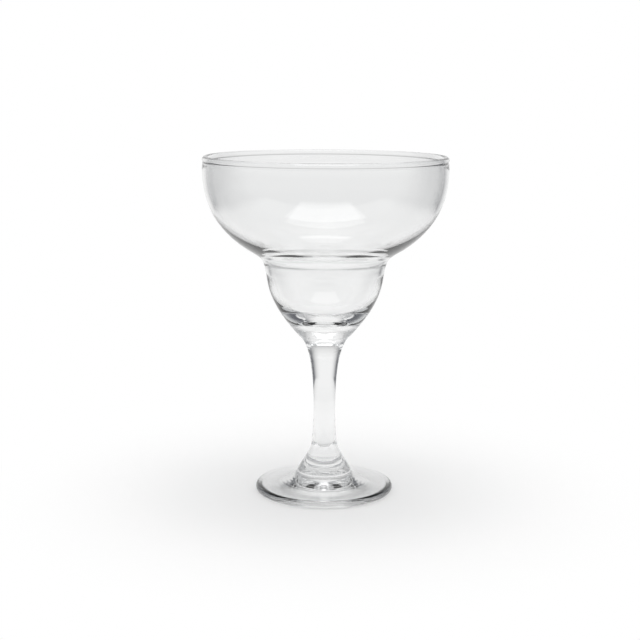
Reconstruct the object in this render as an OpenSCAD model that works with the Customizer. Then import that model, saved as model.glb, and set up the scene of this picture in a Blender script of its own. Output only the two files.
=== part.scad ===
// Margarita glass: a wide bowl stepping in to a small round cup, on a solid stem and a spread foot.
// Three gathers of clear glass, welded hot end to end. Lengths are millimetres, angles are degrees.
// The origin is on the table under the middle of the foot, and +Z runs up the stem to the rim.
// Every piece is a solid of revolution, so each outline is drawn as [radius, height] points.

/* [Overall] */
// Height from the table to the top of the rim
glass_h = 164; // [158:1:172]
// Outside diameter of the bowl where it is widest
bowl_d = 117.5; // [112:0.5:122]
// Diameter of the foot
foot_d = 67.3; // [62:0.1:76]

/* [Bowl] */
// Height from the step between bowl and cup up to the rim
bowl_depth = 46; // [43:1:50]
// How far the widest part lies under the rim
widest_drop = 6.5; // [5.5:0.5:9]
// Wall thickness at the widest part
wall_t = 2.3; // [2:0.1:2.6]
// Thickness of the fire-polished bead around the rim
rim_t = 2.9; // [2.6:0.1:3.2]
// How far the step, where the bowl's underside is flattest, stands out past the cup's mouth
step_w = 5.9; // [5.2:0.1:7]
// Lean of the bowl's underside at the step, measured from vertical
step_lean = 60; // [52:1:64]
// Wall thickness at the step
step_t = 3; // [2.4:0.1:3.6]
// Lean of the bowl's inside at the step
inner_step_lean = 63; // [58:1:66]

/* [Cup] */
// How far the cup's mouth stands out past the collar
cup_w = 15.6; // [14.6:0.1:17]
// Height of the round corner between the step and the cup's mouth
corner_h = 9; // [8:0.5:11]
// Lean of the cup's wall at its mouth
cup_lean = 18; // [12:1:20]
// Wall thickness of the cup
cup_t = 2.4; // [2:0.1:3]
// Height from the cup's mouth down to the start of the collar over the stem
cup_h = 31; // [29:1:34]
// Outside diameter where the cup ends and the collar starts
collar_d = 26.2; // [24:0.2:28]
// Lean of the glass there
collar_lean = 43; // [38:1:48]
// Height of the collar, down to the weld on the stem
collar_h = 8; // [7:0.5:10]
// Solid glass between the bottom of the cup's well and the weld on the stem
floor_t = 12; // [10.5:0.5:16]

/* [Stem] */
// Diameter at the weld to the bowl
stem_top_d = 16.4; // [15:0.1:18]
// Diameter where the stem is slimmest
stem_d = 10.5; // [9.5:0.1:11.5]
// Diameter at the weld to the foot
stem_foot_d = 13.5; // [12.6:0.1:14.5]

/* [Foot] */
// Height of the weld between stem and foot
foot_weld_h = 21.5; // [20:0.5:24]
// Diameter of the hub where it bulges over the disc
hub_d = 26.6; // [24:0.2:29]
// Height at which the hub bulges most
hub_bulge_h = 8.5; // [8:0.25:9.5]
// Thickness of the disc's rounded edge
edge_t = 3.8; // [3:0.1:4.4]
// How far the disc's top rises from its edge to the hub
disc_rise = 3.3; // [2.4:0.1:3.8]
// Width of the flat ring that the glass rests on, just inside the rounded edge
rest_ring_w = 3.2; // [2.4:0.1:5]
// Height of the hollow under the middle of the foot
hollow_h = 2.4; // [1.4:0.1:3]

/* [Hidden] */

// Flats around each turned surface
around = 72;

// Heights on the bowl, from the rim down
widest_z = glass_h - widest_drop;
step_z = glass_h - bowl_depth;
cup_z = step_z - corner_h;
collar_z = cup_z - cup_h;
bowl_weld_z = collar_z - collar_h;
well_z = bowl_weld_z + floor_t;

// Outside radii of the cup's mouth and of the step, from the collar out
cup_r = collar_d / 2 + cup_w;
step_r = cup_r + step_w;

// Where the stem is slimmest, as a share of its length above the foot's weld
slim_share = 0.36;
slim_z = foot_weld_h + slim_share * (bowl_weld_z - foot_weld_h);

// How far the bead's outside lies within the widest part, and how far down its sides it wraps
bead_inset = 0.05;
bead_wrap = 28;
// Reaches of the curves that lead from the bead into the wall
bead_reach = 0.8;
neck_reach = 2.6;

// Reaches of the outside curves. A reach is how far a curve follows its end's direction.
side_reach = 24;
step_up_reach = 10;
step_down_reach = 6.5;
corner_reach = 1.5;
cup_down_reach = 3.5;
cup_up_reach = 23.5;
collar_down_reach = 2;
collar_up_reach = 6;
stem_lean = 19;
stem_top_reach = 8;
slim_up_reach = 9;
slim_down_reach = 4;
weld_up_reach = 2.5;
weld_lean = 18;

// The inside is rounder than the outside at the step, and closes as a wide round well
inner_lean = 9;
inner_side_reach = 18;
inner_step_up_reach = 16.5;
inner_step_down_reach = 6.5;
inner_corner_reach = 8;
well_wall_reach = 17;
well_floor_reach = 19;

// The hub flares out like a bell, then turns under onto the disc, over a shallow domed hollow
hub_flare_reach = 6;
hub_bulge_reach = 3.5;
hub_root_reach = 0.7;
root_reach = 0.8;
root_w = 1.2;
hollow_slope = 6;
hollow_edge_reach = 8;
hollow_middle_reach = 11;

// Unit step up and out along a lean from vertical
function lean(angle) = [sin(angle), cos(angle)];

// Smooth curve from a to b without its first point. It leaves a along out and reaches b along in.
function curve(a, out, b, in, steps) = [
    for (i = [1:steps])
        let (t = i / steps, s = 1 - t)
            s * s * s * a + 3 * s * s * t * (a + out) + 3 * s * t * t * (b - in) + t * t * t * b
];

// Arc from one angle to another around a centre
function arc(centre, r, from, to, steps) = [
    for (i = [0:steps])
        let (angle = from + (to - from) * i / steps)
            centre + r * [cos(angle), sin(angle)]
];

// Closes an outline along the axis and turns it
module turned(outline) {
    rotate_extrude($fn = around) polygon(outline);
}

// Blown bowl and cup in one gather, with the solid collar that the stem is stuck to
module bowl() {
    weld = [stem_top_d / 2, bowl_weld_z];
    collar = [collar_d / 2, collar_z];
    mouth = [cup_r, cup_z];
    step = [step_r, step_z];
    widest = [bowl_d / 2, widest_z];

    bead_r = rim_t / 2;
    bead_centre = [bowl_d / 2 - bead_inset - bead_r, glass_h - bead_r];
    bead = arc(bead_centre, bead_r, -bead_wrap, 180 + bead_wrap, 10);

    inner_widest = widest - [wall_t, 0];
    inner_step = step + step_t * [-cos(step_lean), sin(step_lean)];
    inner_mouth = mouth - [cup_t, 0];
    well = [0, well_z];

    outside = concat(
        [[0, bowl_weld_z], weld],
        curve(weld, collar_up_reach * lean(stem_lean), collar, collar_down_reach * lean(collar_lean), 6),
        curve(collar, cup_up_reach * lean(collar_lean), mouth, cup_down_reach * lean(cup_lean), 10),
        curve(mouth, corner_reach * lean(cup_lean), step, step_down_reach * lean(step_lean), 7),
        curve(step, step_up_reach * lean(step_lean), widest, [0, side_reach], 12),
        curve(widest, [0, neck_reach], bead[0], bead_reach * lean(bead_wrap), 4)
    );
    inside = concat(
        curve(bead[len(bead) - 1], bead_reach * [sin(bead_wrap), -cos(bead_wrap)],
              inner_widest, [0, -neck_reach], 4),
        curve(inner_widest, [0, -inner_side_reach],
              inner_step, -inner_step_up_reach * lean(inner_step_lean), 12),
        curve(inner_step, -inner_step_down_reach * lean(inner_step_lean),
              inner_mouth, -inner_corner_reach * lean(inner_lean), 7),
        curve(inner_mouth, -well_wall_reach * lean(inner_lean), well, [-well_floor_reach, 0], 12)
    );
    color("azure", 0.35) turned(concat(outside, bead, inside));
}

// Solid pressed stem, slimmest low down and spreading to both welds
module stem() {
    foot_end = [stem_foot_d / 2, foot_weld_h];
    slim = [stem_d / 2, slim_z];
    bowl_end = [stem_top_d / 2, bowl_weld_z];
    side = concat(
        [[0, foot_weld_h], foot_end],
        curve(foot_end, weld_up_reach * lean(-weld_lean), slim, [0, slim_down_reach], 8),
        curve(slim, [0, slim_up_reach], bowl_end, stem_top_reach * lean(stem_lean), 10),
        [[0, bowl_weld_z]]
    );
    color("azure", 0.35) turned(side);
}

// Spread foot: bell-shaped hub, gently sloped disc with a rounded edge, and a shallow hollow below
module foot() {
    weld = [stem_foot_d / 2, foot_weld_h];
    bulge = [hub_d / 2, hub_bulge_h];
    edge_r = edge_t / 2;
    edge_centre = [foot_d / 2 - edge_r, edge_r];
    disc_run = edge_centre[0] - hub_d / 2 - root_w;
    disc_slope = atan(disc_rise / disc_run);
    root = [hub_d / 2 + root_w, edge_t + disc_rise];
    down_slope = [cos(disc_slope), -sin(disc_slope)];
    edge = arc(edge_centre, edge_r, 90 - disc_slope, -90, 10);
    rest_in = edge_centre - [rest_ring_w, edge_r];
    middle = [0, hollow_h];
    side = concat(
        [[0, foot_weld_h], weld],
        curve(weld, -hub_flare_reach * lean(-weld_lean), bulge, [0, -hub_bulge_reach], 10),
        curve(bulge, [0, -hub_root_reach], root, root_reach * down_slope, 6),
        edge,
        [rest_in],
        curve(rest_in, hollow_edge_reach * [-cos(hollow_slope), sin(hollow_slope)],
              middle, [-hollow_middle_reach, 0], 8)
    );
    color("azure", 0.35) turned(side);
}

bowl();
stem();
foot();
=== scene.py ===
import math

import bpy
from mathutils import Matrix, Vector


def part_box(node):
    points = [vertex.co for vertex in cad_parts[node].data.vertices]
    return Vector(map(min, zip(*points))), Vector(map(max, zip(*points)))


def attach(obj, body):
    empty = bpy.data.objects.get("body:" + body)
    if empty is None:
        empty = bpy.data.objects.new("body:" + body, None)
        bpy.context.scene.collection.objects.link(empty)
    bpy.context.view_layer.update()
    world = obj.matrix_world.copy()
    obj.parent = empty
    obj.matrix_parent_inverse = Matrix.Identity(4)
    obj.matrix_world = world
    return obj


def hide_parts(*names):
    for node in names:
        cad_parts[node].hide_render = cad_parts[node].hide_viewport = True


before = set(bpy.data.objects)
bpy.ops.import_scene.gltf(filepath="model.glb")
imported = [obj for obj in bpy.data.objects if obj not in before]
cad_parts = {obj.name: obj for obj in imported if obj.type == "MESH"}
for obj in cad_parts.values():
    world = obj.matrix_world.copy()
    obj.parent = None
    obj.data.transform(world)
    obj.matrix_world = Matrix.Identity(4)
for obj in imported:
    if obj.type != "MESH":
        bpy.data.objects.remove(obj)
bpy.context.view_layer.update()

MM = 0.001


# Camera: a little above the rim and looking slightly down, where the ellipses of the rim and the
# foot in the photograph put it. Light paths are long, because thick glass turns light back many
# times before it leaves.

photo_side = 640
focal_px = 1366
camera_distance = 652.6 * MM
camera_height = 201.7 * MM
camera_pitch = math.radians(10.16)
camera_roll = math.radians(0.27)
axis_px_right = 4.9
sensor_mm = 36
turns_in_glass = 9
welds_and_walls = 16

bpy.ops.object.camera_add(location=(0, -camera_distance, camera_height))
camera = bpy.context.object
camera.name = "photo_camera"
camera.data.sensor_width = sensor_mm
camera.data.lens = focal_px * sensor_mm / photo_side
camera.rotation_euler = (math.pi / 2 - camera_pitch, 0, math.atan(axis_px_right / focal_px))
camera.rotation_euler.rotate_axis("Z", camera_roll)
bpy.context.scene.camera = camera
bpy.context.scene.view_settings.view_transform = "Standard"

light_paths = bpy.context.scene.cycles
light_paths.max_bounces = turns_in_glass
light_paths.glossy_bounces = turns_in_glass
light_paths.transmission_bounces = turns_in_glass
light_paths.transparent_max_bounces = welds_and_walls


# Sheet: white paper that is lit as it is near the glass, so that it holds the shadow, and is pure
# white to the camera further out. The glass sees it as a softer white with painted shade that dims
# it towards its sides and front, sees it end there and rise behind, and sees a painted pool of light
# on it where a real foot gathers light under itself.


class Signal:
    """One output of a shader node, so that sums on it read as plain arithmetic."""

    def __init__(self, tree, socket):
        self.tree = tree
        self.socket = socket

    def math(self, operation, *values):
        return node(self.tree, "ShaderNodeMath", {"operation": operation}, values or [self])

    def __add__(self, other):
        return self.math("ADD", self, other)

    __radd__ = __add__

    def __sub__(self, other):
        return self.math("SUBTRACT", self, other)

    def __rsub__(self, other):
        return self.math("SUBTRACT", other, self)

    def __mul__(self, other):
        return self.math("MULTIPLY", self, other)

    __rmul__ = __mul__

    def __truediv__(self, other):
        return self.math("DIVIDE", self, other)

    def __pow__(self, other):
        return self.math("POWER", self, other)

    def __neg__(self):
        return self.math("SUBTRACT", 0, self)

    def __abs__(self):
        return self.math("ABSOLUTE")

    def largest(self, other):
        return self.math("MAXIMUM", self, other)

    def smooth(self, low, high):
        """0 below low, 1 above high, with a soft step between."""
        settings = {"interpolation_type": "SMOOTHSTEP"}
        values = {"Value": self, "From Min": low, "From Max": high}
        return node(self.tree, "ShaderNodeMapRange", settings, values)

    def around(self, edge, blur):
        """0 before an edge and 1 past it, blurred by the same amount on both sides."""
        return self.smooth(edge - blur, edge + blur)


def node(tree, kind, settings=None, values=None, output=0):
    """Adds a node, sets it up, then gives its sockets their values or links."""
    made = tree.nodes.new(kind)
    for name, value in (settings or {}).items():
        setattr(made, name, value)
    pairs = values.items() if isinstance(values, dict) else enumerate(values or ())
    for key, value in pairs:
        socket = made.inputs[key]
        if isinstance(value, Signal):
            tree.links.new(value.socket, socket)
        else:
            socket.default_value = value
    return Signal(tree, made.outputs[output]) if made.outputs else None


def empty_tree(owner):
    """Turns on the nodes of a material or a world, and clears them."""
    owner.use_nodes = True
    owner.node_tree.nodes.clear()
    return owner.node_tree


def axis(tree, place, letter):
    """One coordinate of a place or a direction."""
    return node(tree, "ShaderNodeSeparateXYZ", None, [place], letter)


def mixed(share, first, second):
    """The first shader, with a share of the second over it."""
    return node(share.tree, "ShaderNodeMixShader", None, [share, first, second])


def seen_by_camera(tree):
    return node(tree, "ShaderNodeLightPath", output="Is Camera Ray")


def seen_in_glass(tree):
    mirrored = node(tree, "ShaderNodeLightPath", output="Is Glossy Ray")
    return mirrored.largest(node(tree, "ShaderNodeLightPath", output="Is Transmission Ray"))


def grey(level):
    return (level, level, level, 1)


def glow(tree, colour):
    """Paper or room that looks the same from wherever the glass turns to it."""
    return node(tree, "ShaderNodeEmission", None, {"Color": colour, "Strength": 1.0})


# How far out a place or direction lies to the side, as a share of how far it lies behind the glass,
# where the sweep starts to fade and where it is gone. The sweep stands a little off the middle.
fade_from = 0.25
fade_to = 1.25
off_middle = 0.06


def past_sweep(across, behind):
    return abs(across / behind + off_middle).smooth(fade_from, fade_to)


# The black flags beside the glass end as a direction swings from behind the glass to the camera's
# side, and the studio behind the camera is lighter
flags_end_from = -0.25
flags_end_to = 0.1


def past_flags(towards_camera):
    return towards_camera.smooth(flags_end_from, flags_end_to)


floor_size = 6
air_gap = 0.05 * MM
paper_reflects = 0.97
shadow_reach = 0.05
white_from = 0.17
sheet_level = 0.92
flag_colour = (0.05, 0.055, 0.07, 1)
studio_floor_colour = (0.22, 0.225, 0.235, 1)
studio_floor_from = 0.4
studio_floor_to = 0.75
sheet_half_width = 0.3
side_blur = 0.09
sheet_front = 0.235
front_blur = 0.015
rises_at = 0.4
rise_blur = 0.06
dims_from = 0.1
dims_to = 0.35
sides_dimmed_by = 0.25
front_dimmed_by = 0.4
gathers_within = 0.012
gathered_by = 0.022
gathered_share = 0.8

bpy.ops.mesh.primitive_plane_add(size=floor_size, location=(0, 0, -air_gap))
floor = bpy.context.object
floor.name = "paper_sheet"
paper = bpy.data.materials.new("white_paper")
tree = empty_tree(paper)
place = node(tree, "ShaderNodeTexCoord", output="Object")
distance = node(tree, "ShaderNodeVectorMath", {"operation": "LENGTH"}, [place], "Value")
across = axis(tree, place, "X")
back = axis(tree, place, "Y")
front = -back
in_glass = seen_in_glass(tree)

past_side = abs(across).around(sheet_half_width, side_blur)
past_front = front.around(sheet_front, front_blur)
rising = back.around(rises_at, rise_blur)
past_paper = past_side * (1 - rising) + past_sweep(across, back.largest(rises_at)) * rising
# Painted shade: as the glass sees it, the paper is dimmed towards its sides and front, on top of where it
# ends
dim_sides = abs(across).smooth(dims_from, dims_to) * (1 - rising) * sides_dimmed_by
dim_front = front.smooth(0, sheet_front) * front_dimmed_by
off_sheet_and_painted_dim = past_paper.largest(past_front).largest(dim_sides).largest(dim_front)
off_flags = distance.smooth(studio_floor_from, studio_floor_to) * past_flags(front / distance)
# Painted light: within 12 mm of the axis, fading out by 22 mm, the glass sees the paper glowing at the
# sheet's level instead of shadowed, for the light a real foot gathers there
painted_foot_glow = (1 - distance.smooth(gathers_within, gathered_by)) * gathered_share

studio_floor = mixed(off_flags, glow(tree, flag_colour), glow(tree, studio_floor_colour))
far_in_glass = mixed(off_sheet_and_painted_dim, glow(tree, grey(sheet_level)), studio_floor)
far = mixed(seen_by_camera(tree), far_in_glass, glow(tree, grey(1)))
far_share = distance.smooth(shadow_reach, white_from) * seen_by_camera(tree).largest(in_glass)
lit_paper = node(tree, "ShaderNodeBsdfDiffuse", None, {"Color": grey(paper_reflects)})
surface = mixed(far_share.largest(off_sheet_and_painted_dim * in_glass).largest(painted_foot_glow * in_glass), lit_paper, far)
node(tree, "ShaderNodeOutputMaterial", None, {"Surface": surface})
floor.data.materials.append(paper)


# Room: the sweep dims as it rises behind the glass and is lit again by the ceiling at its top. Beside
# it stand the black flags that draw the dark lines in the glass. The camera sees plain white, and
# surfaces that aren't glass get a soft fill from all round.

sweep_low = 0.91
sweep_high = 0.48
sweep_top = 0.85
flag_top_colour = (0.3, 0.31, 0.32, 1)
studio_colour = (0.52, 0.53, 0.54, 1)
low_sine = 0.05
high_sine = 0.6
top_sine = 0.75
just_behind = 0.001
room_fill = 0.55

world = bpy.data.worlds.new("studio")
bpy.context.scene.world = world
tree = empty_tree(world)
way = node(tree, "ShaderNodeTexCoord", output="Generated")
across = axis(tree, way, "X")
back = axis(tree, way, "Y")
up = axis(tree, way, "Z")


def wall(colour):
    return node(tree, "ShaderNodeBackground", None, {"Color": colour, "Strength": 1.0})


high = up.smooth(low_sine, high_sine)
lower_sweep = mixed(high, wall(grey(sweep_low)), wall(grey(sweep_high)))
sweep = mixed(up.smooth(high_sine, top_sine), lower_sweep, wall(grey(sweep_top)))
flags = mixed(high, wall(flag_colour), wall(flag_top_colour))
room = mixed(past_flags(-back), flags, wall(studio_colour))
around_glass = mixed(past_sweep(across, back.largest(just_behind)), sweep, room)
lighting = mixed(seen_in_glass(tree), wall(grey(room_fill)), around_glass)
surface = mixed(seen_by_camera(tree), lighting, wall(grey(1)))
node(tree, "ShaderNodeOutputWorld", None, {"Surface": surface})


# Lamps: one softbox overhead and a little towards the camera, as its outline in the bowl shows, and
# the white ceiling of the studio, which is too soft and wide to show as a shape in the glass.

softbox_h = 0.868
softbox_w = 0.67
softbox_l = 0.58
softbox_y = -0.16
softbox_level = 1.5
ceiling_h = 1.3
ceiling_w = 1.2
ceiling_y = 0.3
ceiling_level = 1.3


def panel_lamp(name, y, z, width, length, level):
    """A lamp that faces down. At level 1 it looks as bright as plain white."""
    bpy.ops.object.light_add(type="AREA", location=(0, y, z))
    lamp = bpy.context.object
    lamp.name = name
    lamp.data.shape = "RECTANGLE"
    lamp.data.size = width
    lamp.data.size_y = length
    lamp.data.energy = level * math.pi * width * length
    return lamp


panel_lamp("softbox", softbox_y, softbox_h, softbox_w, softbox_l, softbox_level)
ceiling = panel_lamp("ceiling_bounce", ceiling_y, ceiling_h, ceiling_w, ceiling_w, ceiling_level)
ceiling.visible_glossy = False
ceiling.visible_transmission = False


# Bowl: the wide bowl and the round cup under it are blown as one gather of clear soda-lime glass.
# The rim is fire-polished to a round bead, and the cup's solid base ends in a collar that is
# welded hot to the stem. Its sizes are millimetres, and its leans are degrees from vertical.


def mm(radius, height):
    """A point or a reach given as radius and height in millimetres."""
    return Vector((radius * MM, 0, height * MM))


def lean(angle, reach):
    """A reach along a lean from vertical, going up and out."""
    return mm(reach * math.sin(math.radians(angle)), reach * math.cos(math.radians(angle)))


def round_knots(centre, radius, start, end, count):
    """Knots along an arc, from one angle to another, with the reaches that make it round."""
    turn = math.radians(end - start) / count
    reach = 4 / 3 * math.tan(turn / 4) * radius
    knots = []
    for i in range(count + 1):
        angle = math.radians(start) + i * turn
        point = centre + mm(radius * math.cos(angle), radius * math.sin(angle))
        along = mm(-reach * math.sin(angle), reach * math.cos(angle))
        knots.append((point, along, along))
    return knots


def turned(name, knots, weld_heights, steps):
    """Draws an outline as one curve of (point, reach in, reach out), and spins it round the axis.
    The faces of its welds take the piece's second material."""
    points_per_curve = 14
    same_point = 0.002 * MM
    same_height = 0.001 * MM
    sharp_corner = math.radians(40)
    bpy.ops.object.select_all(action="DESELECT")
    bpy.ops.curve.primitive_bezier_curve_add()
    outline = bpy.context.object
    spline = outline.data.splines[0]
    spline.bezier_points.add(len(knots) - len(spline.bezier_points))
    for knot, (point, reach_in, reach_out) in zip(spline.bezier_points, knots):
        knot.handle_left_type = knot.handle_right_type = "FREE"
        knot.co = point
        knot.handle_left = point - reach_in
        knot.handle_right = point + reach_out
    spline.resolution_u = points_per_curve
    bpy.ops.object.convert(target="MESH")
    piece = bpy.context.object
    piece.name = piece.data.name = name
    bpy.ops.object.mode_set(mode="EDIT")
    bpy.ops.mesh.select_all(action="SELECT")
    bpy.ops.mesh.spin(steps=steps, angle=2 * math.pi, center=(0, 0, 0), axis=(0, 0, 1))
    bpy.ops.mesh.select_all(action="SELECT")
    bpy.ops.mesh.remove_doubles(threshold=same_point)
    bpy.ops.mesh.normals_make_consistent(inside=False)
    bpy.ops.mesh.select_all(action="DESELECT")
    bpy.ops.object.mode_set(mode="OBJECT")
    bpy.ops.object.shade_smooth_by_angle(angle=sharp_corner)
    for face in piece.data.polygons:
        height = face.center.z
        on_weld = any(abs(height - weld_height * MM) < same_height for weld_height in weld_heights)
        face.material_index = int(on_weld)
    return piece


glass_tint = (0.988, 0.991, 0.99, 1)
glass_ior = 1.51


def clear_glass(name, shade, marks, wear=None):
    """Clear polished glass with the faint marks of its making, as a height in metres from the place
    on it. Lamps shine through each wall of it, and shade is what is left of their light."""
    glass = bpy.data.materials.new(name)
    tree = empty_tree(glass)
    place = node(tree, "ShaderNodeTexCoord", output="Object")
    relief = node(tree, "ShaderNodeBump", None, {
        "Strength": 1.0,
        "Distance": 1.0,
        "Height": marks(tree, place),
    })
    shader = node(tree, "ShaderNodeBsdfPrincipled", None, {
        "Base Color": glass_tint,
        "Roughness": wear(tree, place) if wear else 0.0,
        "IOR": glass_ior,
        "Transmission Weight": 1.0,
        "Normal": relief,
    })
    let_through = node(tree, "ShaderNodeBsdfTransparent", None, {"Color": grey(shade)})
    in_shadow = node(tree, "ShaderNodeLightPath", output="Is Shadow Ray")
    node(tree, "ShaderNodeOutputMaterial", None, {"Surface": mixed(in_shadow, shader, let_through)})
    return glass


def fused(name):
    """The inside of a weld, where two gathers have run together and no surface is left."""
    weld = bpy.data.materials.new(name)
    tree = empty_tree(weld)
    clear = node(tree, "ShaderNodeBsdfTransparent", None, {"Color": grey(1)})
    node(tree, "ShaderNodeOutputMaterial", None, {"Surface": clear})
    return weld


def spotted(tree, place, stretch, detail):
    """Soft cloudy noise from 0 to 1, with this many spots to a metre each way."""
    stretched = node(tree, "ShaderNodeMapping", None, {"Vector": place, "Scale": stretch})
    return node(tree, "ShaderNodeTexNoise", None, {"Vector": stretched, "Scale": 1.0, "Detail": detail})


bowl_d = 117.5
bowl_r = bowl_d / 2
bowl_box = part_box("bowl")
bowl_weld_z = bowl_box[0][2] / MM
rim_z = bowl_box[1][2] / MM
widest_drop = 6.5
bowl_depth = 46
corner_h = 9
cup_h = 31
widest_z = rim_z - widest_drop
step_z = rim_z - bowl_depth
cup_z = step_z - corner_h
collar_z = cup_z - cup_h
stem_top_r = 8.2
collar_r = 13.1
cup_w = 15.6
step_w = 5.9
cup_r = collar_r + cup_w
step_r = cup_r + step_w

rim_t = 2.9
wall_t = 2.2
step_t = 3.1
cup_t = 2.4
floor_t = 14.5
bead_inset = 0.05
bead_wrap = 28

stem_lean = 19
collar_lean = 43
cup_lean = 18
step_lean = 60
inner_lean = 63
inner_cup_lean = 9

collar_up_reach = 6
collar_down_reach = 2
cup_up_reach = 23.5
cup_down_reach = 3.5
corner_reach = 1.5
step_down_reach = 6.5
step_up_reach = 10
side_reach = 24
neck_reach = 2.6
bead_reach = 0.8
inner_side_reach = 21.5
inner_step_up_reach = 12.5
inner_step_down_reach = 6.8
inner_corner_reach = 8
well_wall_reach = 17
well_floor_reach = 16

weld = mm(stem_top_r, bowl_weld_z)
collar = mm(collar_r, collar_z)
mouth = mm(cup_r, cup_z)
step = mm(step_r, step_z)
widest = mm(bowl_r, widest_z)
bead_r = rim_t / 2
bead_centre = mm(bowl_r - bead_inset - bead_r, rim_z - bead_r)
bead = round_knots(bead_centre, bead_r, -bead_wrap, 180 + bead_wrap, 4)
inner_widest = widest - mm(wall_t, 0)
inner_step = step + lean(step_lean - 90, step_t)
inner_mouth = mouth - mm(cup_t, 0)
well = mm(0, bowl_weld_z + floor_t)
none = mm(0, 0)

bowl_outline = [
    (mm(0, bowl_weld_z), none, none),
    (weld, none, lean(stem_lean, collar_up_reach)),
    (collar, lean(collar_lean, collar_down_reach), lean(collar_lean, cup_up_reach)),
    (mouth, lean(cup_lean, cup_down_reach), lean(cup_lean, corner_reach)),
    (step, lean(step_lean, step_down_reach), lean(step_lean, step_up_reach)),
    (widest, lean(0, side_reach), lean(0, neck_reach)),
    (bead[0][0], lean(bead_wrap, bead_reach), bead[0][2]),
    *bead[1:-1],
    (bead[-1][0], bead[-1][1], -lean(-bead_wrap, bead_reach)),
    (inner_widest, -lean(0, neck_reach), -lean(0, inner_side_reach)),
    (inner_step, -lean(inner_lean, inner_step_up_reach), -lean(inner_lean, inner_step_down_reach)),
    (inner_mouth, -lean(inner_cup_lean, inner_corner_reach), -lean(inner_cup_lean, well_wall_reach)),
    (well, mm(-well_floor_reach, 0), none),
]
bowl = turned("glass_bowl", bowl_outline, [bowl_weld_z], steps=288)

bowl_shade = 0.66
ripples_per_metre = (22, 22, 95)
ripple_h = 0.03 * MM
ripples_fade_from = 150 * MM
ripples_fade_to = 159 * MM


def blown_ripples(tree, place):
    """Long soft waves round the bowl, which bend the edges of what it mirrors. The rim has none."""
    below_rim = 1 - axis(tree, place, "Z").smooth(ripples_fade_from, ripples_fade_to)
    return spotted(tree, place, ripples_per_metre, 1.0) * below_rim * ripple_h


bowl.data.materials.append(clear_glass("bowl_glass_clear", bowl_shade, blown_ripples))
bowl.data.materials.append(fused("bowl_weld"))
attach(bowl, "root")
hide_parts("bowl")


# Stem: a solid pressed rod of the same glass, slimmest low down, that spreads to the two welds. It
# is welded hot to the cup's collar above it and to the foot's hub below.

foot_weld_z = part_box("stem")[0][2] / MM
slim_share = 0.36
slim_z = foot_weld_z + slim_share * (bowl_weld_z - foot_weld_z)
slim_r = 5.25
stem_foot_r = 6.75
foot_weld_lean = -22
weld_up_reach = 2.5
slim_down_reach = 4
slim_up_reach = 9
stem_top_reach = 8

stem_foot = mm(stem_foot_r, foot_weld_z)
stem_outline = [
    (mm(0, foot_weld_z), none, none),
    (stem_foot, none, lean(foot_weld_lean, weld_up_reach)),
    (mm(slim_r, slim_z), lean(0, slim_down_reach), lean(0, slim_up_reach)),
    (weld, lean(stem_lean, stem_top_reach), none),
    (mm(0, bowl_weld_z), none, none),
]
stem = turned("glass_stem", stem_outline, [foot_weld_z, bowl_weld_z], steps=96)

stem_shade = 0.9
streaks_per_metre = (260, 260, 14)
streak_h = 0.012 * MM


def drawn_streaks(tree, place):
    """Faint streaks along the stem, drawn out with it."""
    return spotted(tree, place, streaks_per_metre, 1.0) * streak_h


stem.data.materials.append(clear_glass("stem_glass_clear", stem_shade, drawn_streaks))
stem.data.materials.append(fused("stem_weld"))
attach(stem, "root")
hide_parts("stem")


# Foot: a third gather, pressed flat and spun out to a disc with a rounded edge, under a hub like a
# bell. It rests on a flat ring near the edge, and its middle is slightly hollow below.

foot_d = 67.3
foot_r = foot_d / 2
edge_t = 3.8
edge_r = edge_t / 2
hub_r = 13.2
hub_bulge_h = 9.6
root_w = 2.8
disc_rise = 4
disc_run = foot_r - edge_r - hub_r - root_w
disc_slope = math.degrees(math.atan(disc_rise / disc_run))
rest_ring_w = 1.8
hollow_h = 3.3
hollow_slope = 12
hub_flare_reach = 6
hub_bulge_reach = 1.9
hub_root_reach = 1.1
root_reach = 0.8
hollow_edge_reach = 5
hollow_middle_reach = 11

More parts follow.
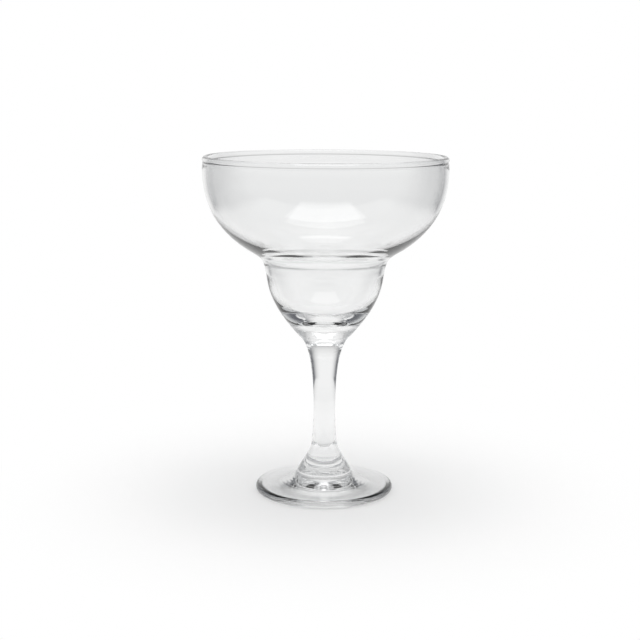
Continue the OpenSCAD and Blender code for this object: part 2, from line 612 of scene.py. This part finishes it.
hub = mm(hub_r, hub_bulge_h)
root = mm(hub_r + root_w, edge_t + disc_rise)
edge = round_knots(mm(foot_r - edge_r, edge_r), edge_r, 90 - disc_slope, -90, 4)
rest_in = mm(foot_r - edge_r - rest_ring_w, 0)
foot_outline = [
    (mm(0, foot_weld_z), none, none),
    (stem_foot, none, -lean(foot_weld_lean, hub_flare_reach)),
    (hub, -lean(0, hub_bulge_reach), -lean(0, hub_root_reach)),
    (root, lean(90 + disc_slope, root_reach), none),
    (edge[0][0], none, edge[0][2]),
    *edge[1:-1],
    (edge[-1][0], edge[-1][1], none),
    (rest_in, none, -lean(90 + hollow_slope, hollow_edge_reach)),
    (mm(0, hollow_h), mm(-hollow_middle_reach, 0), none),
]
foot = turned("glass_foot", foot_outline, [foot_weld_z], steps=160)

foot_shade = 0.95
ring_pitch = 1.9 * MM
ring_wander = 5
ring_h = 0.005 * MM
disc_top_from = 6 * MM
disc_top_to = 9 * MM
rings_fade_from = 17 * MM
rings_fade_to = 22 * MM
line_pitch = 1.3 * MM
line_wander = 4
line_h = 0.004 * MM
hub_from = 7 * MM
hub_to = 10 * MM
hub_top_from = 19 * MM
hub_top_to = 21 * MM
wander_per_metre = 120
worn_below = 0.02 * MM
unworn_above = 0.2 * MM
specks_per_metre = 900
scuffs = 0.3


def spun_rings(tree, place):
    """Fine rings from spinning: round the hub on the disc, and one over another up the hub."""
    across = axis(tree, place, "X")
    deep = axis(tree, place, "Y")
    up = axis(tree, place, "Z")
    out = (across * across + deep * deep) ** 0.5
    spots = {"Vector": place, "Scale": wander_per_metre, "Detail": 2.0}
    uneven = node(tree, "ShaderNodeTexNoise", None, spots)
    rings = (out * (2 * math.pi / ring_pitch) + uneven * ring_wander).math("SINE")
    on_disc = (1 - up.smooth(disc_top_from, disc_top_to)) * (1 - out.smooth(rings_fade_from, rings_fade_to))
    lines = (up * (2 * math.pi / line_pitch) + uneven * line_wander).math("SINE")
    on_hub = up.smooth(hub_from, hub_to) * (1 - up.smooth(hub_top_from, hub_top_to))
    return rings * on_disc * ring_h + lines * on_hub * line_h


def scuffed_ring(tree, place):
    """The flat resting ring is dulled by the tables it has stood on."""
    near_table = 1 - axis(tree, place, "Z").smooth(worn_below, unworn_above)
    spots = {"Vector": place, "Scale": specks_per_metre, "Detail": 3.0}
    return near_table * node(tree, "ShaderNodeTexNoise", None, spots) * scuffs


foot.data.materials.append(clear_glass("foot_glass_clear", foot_shade, spun_rings, scuffed_ring))
foot.data.materials.append(fused("foot_weld"))
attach(foot, "root")
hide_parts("foot")
